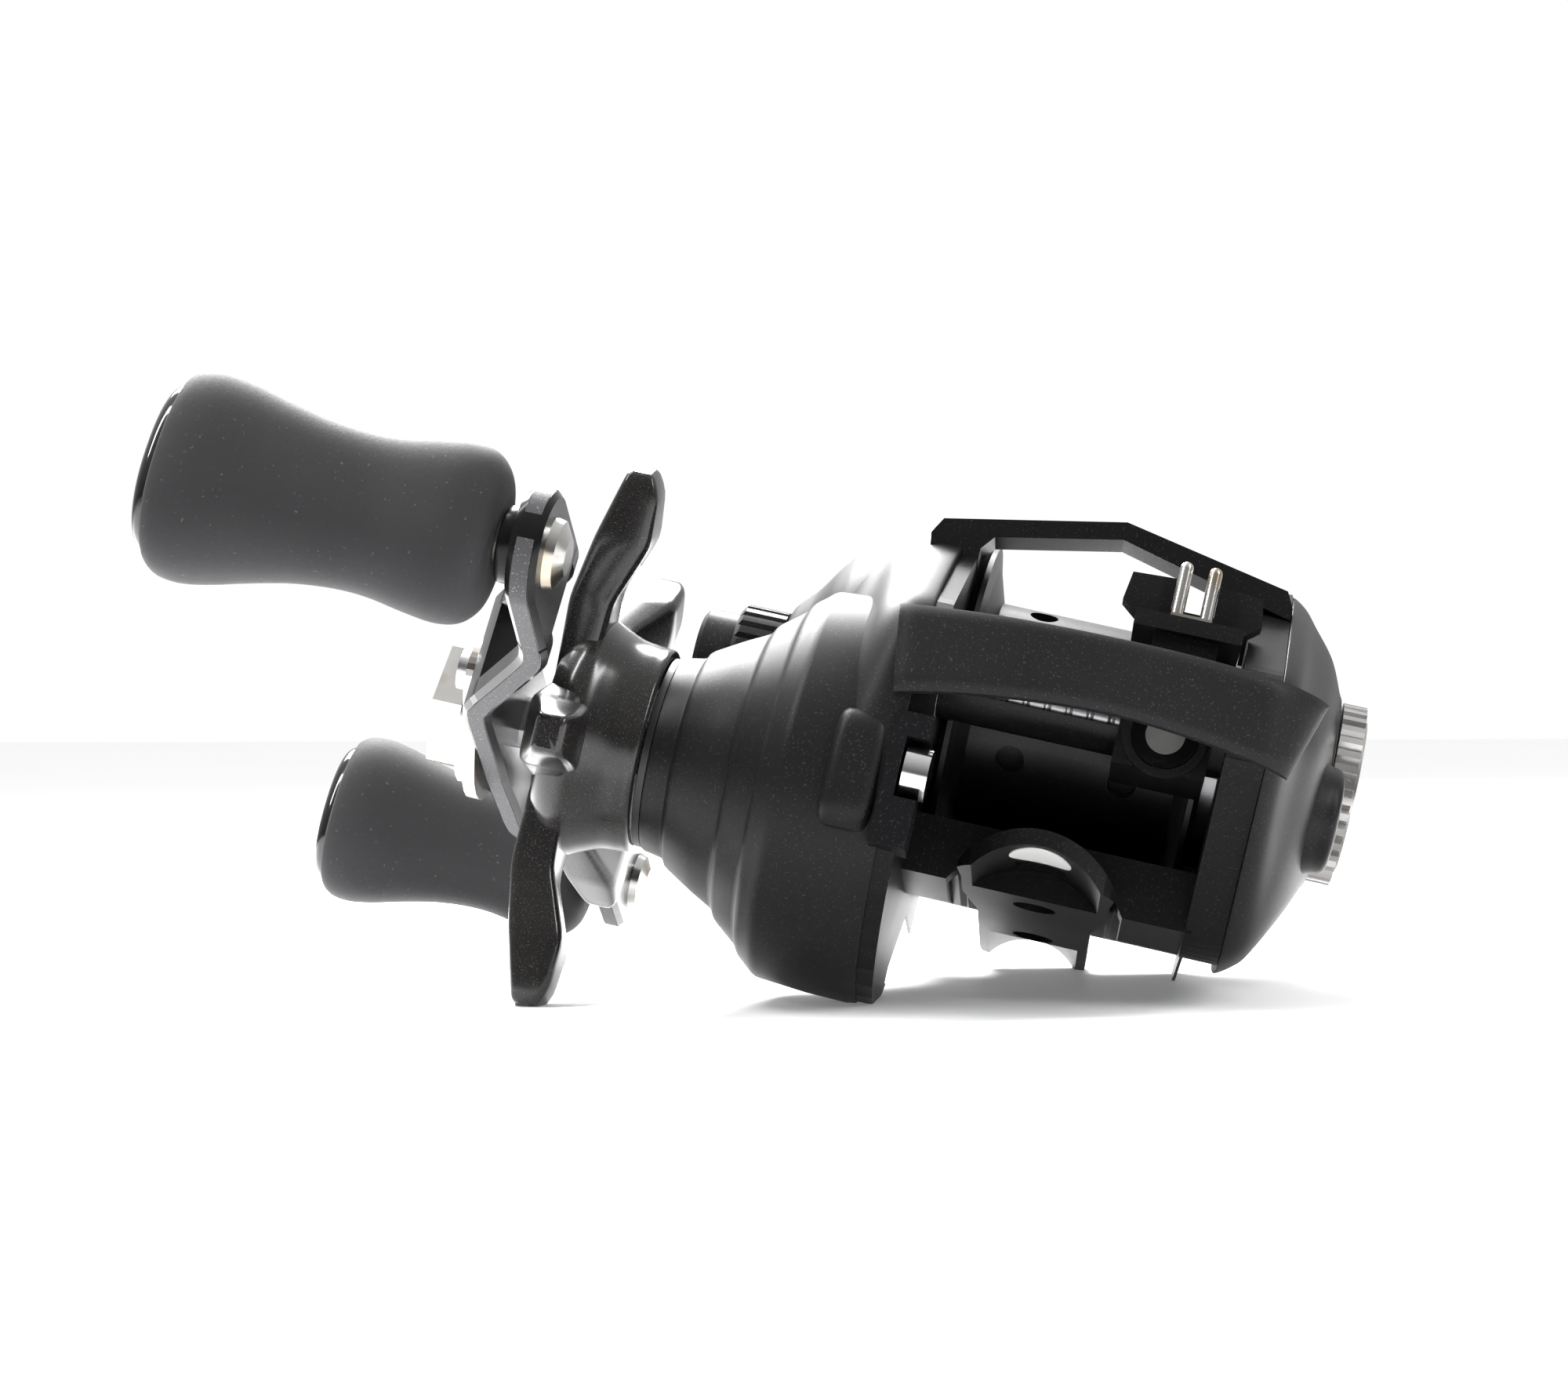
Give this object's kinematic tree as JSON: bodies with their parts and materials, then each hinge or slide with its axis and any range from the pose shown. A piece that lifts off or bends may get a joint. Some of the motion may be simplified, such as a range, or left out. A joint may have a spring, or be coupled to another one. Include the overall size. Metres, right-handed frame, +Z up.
{
  "type": "baitcasting reel",
  "caption": "Low-profile baitcasting fishing reel with a cranked double handle, star drag, ported spool, level-wind line guide and side covers, on a curved rod foot.",
  "frame": {"origin": "centre of the reel foot, in the plane that the foot's flat saddle and edge lands rest on", "axes": "+X points from the handle side to the palm side, -Y points to the front where the line leaves, +Z points up from the foot"},
  "size_m": [0.1062, 0.1028, 0.0591],
  "materials": {
    "cover_black": "matte satin black paint with a fine grain",
    "frame_black": "black anodised",
    "band_black": "satin black",
    "foot_black": "satin black paint",
    "label_white": "blank white oval label",
    "steel": "brushed",
    "dark_steel": "blackened",
    "bright_steel": "polished",
    "bearing_steel": "ground",
    "brass": "machined",
    "carbon": "woven friction washer",
    "wind_plastic": "unpainted gear plastic",
    "handle_black": "gloss black with grey bevelled edges",
    "star_black": "dark speckled gloss",
    "knob_rubber": "matte charcoal with fine light specks",
    "knob_gloss": "gloss black",
    "seal_black": "black",
    "spool_black": "black anodised",
    "guide_black": "satin black",
    "guide_dark": "dark and greasy",
    "holder_grey": "grey",
    "magnet": "nickel plated",
    "dial_metal": "knurled and plated",
    "cap_black": "knurled dark grey",
    "thumb_black": "satin black"
  },
  "bodies": {
    "reel": {"frame": "frame_black", "front_cover": "band_black", "gear_side_cover": "cover_black", "palm_side_cover": "cover_black", "reel_foot": "foot_black", "foot_screws": "steel", "foot_label": "label_white", "cover_screws": "dark_steel", "lug_screw": "bright_steel", "one_way_bearing": "bearing_steel", "boss_seal": "seal_black", "shaft_bearing": "bearing_steel", "pinion_bearing": "bearing_steel", "cap_bearing": "bearing_steel", "palm_bearing": "bearing_steel", "magnet_holder": "holder_grey", "brake_magnets": "magnet", "worm_guard": "guide_dark", "worm_bushings": "wind_plastic", "guide_rod": "steel", "yoke_posts": "steel", "yoke_springs": "steel"},
    "handle": {"handle_arm": "handle_black", "drive_shaft": "steel", "drive_gear": "brass", "drag_washer": "carbon", "pressure_plate": "steel", "anti_reverse_ratchet": "steel", "clutch_sleeve": "bearing_steel", "drag_springs": "steel", "wind_drive_gear": "wind_plastic", "handle_nut": "bright_steel", "nut_retainer": "bright_steel", "retainer_screw": "steel", "knob_posts": "bright_steel"},
    "star": {"star_drag": "star_black", "star_nut": "brass"},
    "knob_front": {"front_knob": "knob_rubber", "front_knob_cap": "knob_gloss", "front_knob_bearings": "bearing_steel"},
    "knob_rear": {"rear_knob": "knob_rubber", "rear_knob_cap": "knob_gloss", "rear_knob_bearings": "bearing_steel"},
    "spool_assembly": {"spool": "spool_black", "spool_shaft": "steel", "spool_pin": "steel", "brake_rotor": "steel"},
    "yoke": {"clutch_yoke": "dark_steel"},
    "pinion_gear": {"pinion": "brass"},
    "cam": {"clutch_cam": "wind_plastic"},
    "thumb_bar_assembly": {"thumb_bar": "thumb_black"},
    "worm": {"worm_shaft": "steel", "worm_gear": "wind_plastic"},
    "idler": {"idler_gear": "wind_plastic"},
    "guide": {"line_guide": "guide_black", "guide_insert": "bright_steel", "pawl_cap": "dark_steel"},
    "dial": {"brake_dial": "dial_metal"},
    "tension_cap": {"cast_control_cap": "cap_black", "tension_shim": "brass"}
  },
  "joints": [
    {"name": "handle_spin", "type": "hinge", "parent": "reel", "child": "handle", "pos_m": [-0.03, -0.013, 0.006], "axis": [1, 0, 0], "continuous": true},
    {"name": "star_turn", "type": "hinge", "parent": "handle", "child": "star", "pos_m": [-0.044, -0.013, 0.006], "axis": [1, 0, 0], "range_deg": [-180, 180]},
    {"name": "front_knob_spin", "type": "hinge", "parent": "handle", "child": "knob_front", "pos_m": [-0.062, -0.05756, 0.01226], "axis": [1, 0, 0], "continuous": true},
    {"name": "rear_knob_spin", "type": "hinge", "parent": "handle", "child": "knob_rear", "pos_m": [-0.062, 0.03156, -0.00026], "axis": [1, 0, 0], "continuous": true},
    {"name": "spool_spin", "type": "hinge", "parent": "reel", "child": "spool_assembly", "pos_m": [0, 0.00186, 0.0195], "axis": [1, 0, 0], "continuous": true},
    {"name": "yoke_shift", "type": "slide", "parent": "reel", "child": "yoke", "axis": [-1, 0, 0], "range_m": [0, 0.0015]},
    {"name": "pinion_spin", "type": "hinge", "parent": "yoke", "child": "pinion_gear", "pos_m": [-0.02, 0.00186, 0.0195], "axis": [1, 0, 0], "continuous": true},
    {"name": "clutch_cam_turn", "type": "hinge", "parent": "reel", "child": "cam", "pos_m": [-0.0157, 0.00186, 0.0195], "axis": [-1, 0, 0], "range_deg": [0, 11.5]},
    {"name": "thumb_bar_press", "type": "slide", "parent": "reel", "child": "thumb_bar_assembly", "axis": [0, 0, -1], "range_m": [0, 0.004]},
    {"name": "worm_spin", "type": "hinge", "parent": "reel", "child": "worm", "pos_m": [0, -0.0206, 0.017], "axis": [1, 0, 0], "continuous": true},
    {"name": "idler_spin", "type": "hinge", "parent": "reel", "child": "idler", "pos_m": [-0.0164, -0.02134, 0.01054], "axis": [1, 0, 0], "continuous": true},
    {"name": "line_guide_slide", "type": "slide", "parent": "reel", "child": "guide", "axis": [1, 0, 0], "range_m": [-0.0154, 0]},
    {"name": "brake_dial_turn", "type": "hinge", "parent": "reel", "child": "dial", "pos_m": [0.027, 0.00186, 0.0195], "axis": [1, 0, 0], "range_deg": [0, 270]},
    {"name": "cast_control_turn", "type": "hinge", "parent": "reel", "child": "tension_cap", "pos_m": [-0.033, 0.00186, 0.0195], "axis": [1, 0, 0], "range_deg": [-180, 180]}
  ],
  "couplings": [
    {"joint": "spool_spin", "follows": "handle_spin", "ratio": -6.3},
    {"joint": "pinion_spin", "follows": "handle_spin", "ratio": -6.3},
    {"joint": "idler_spin", "follows": "handle_spin", "ratio": -1.7143},
    {"joint": "worm_spin", "follows": "handle_spin", "ratio": 2},
    {"joint": "clutch_cam_turn", "follows": "thumb_bar_press", "rad_per_m": 49.45},
    {"joint": "yoke_shift", "follows": "thumb_bar_press", "ratio": 0.375}
  ]
}
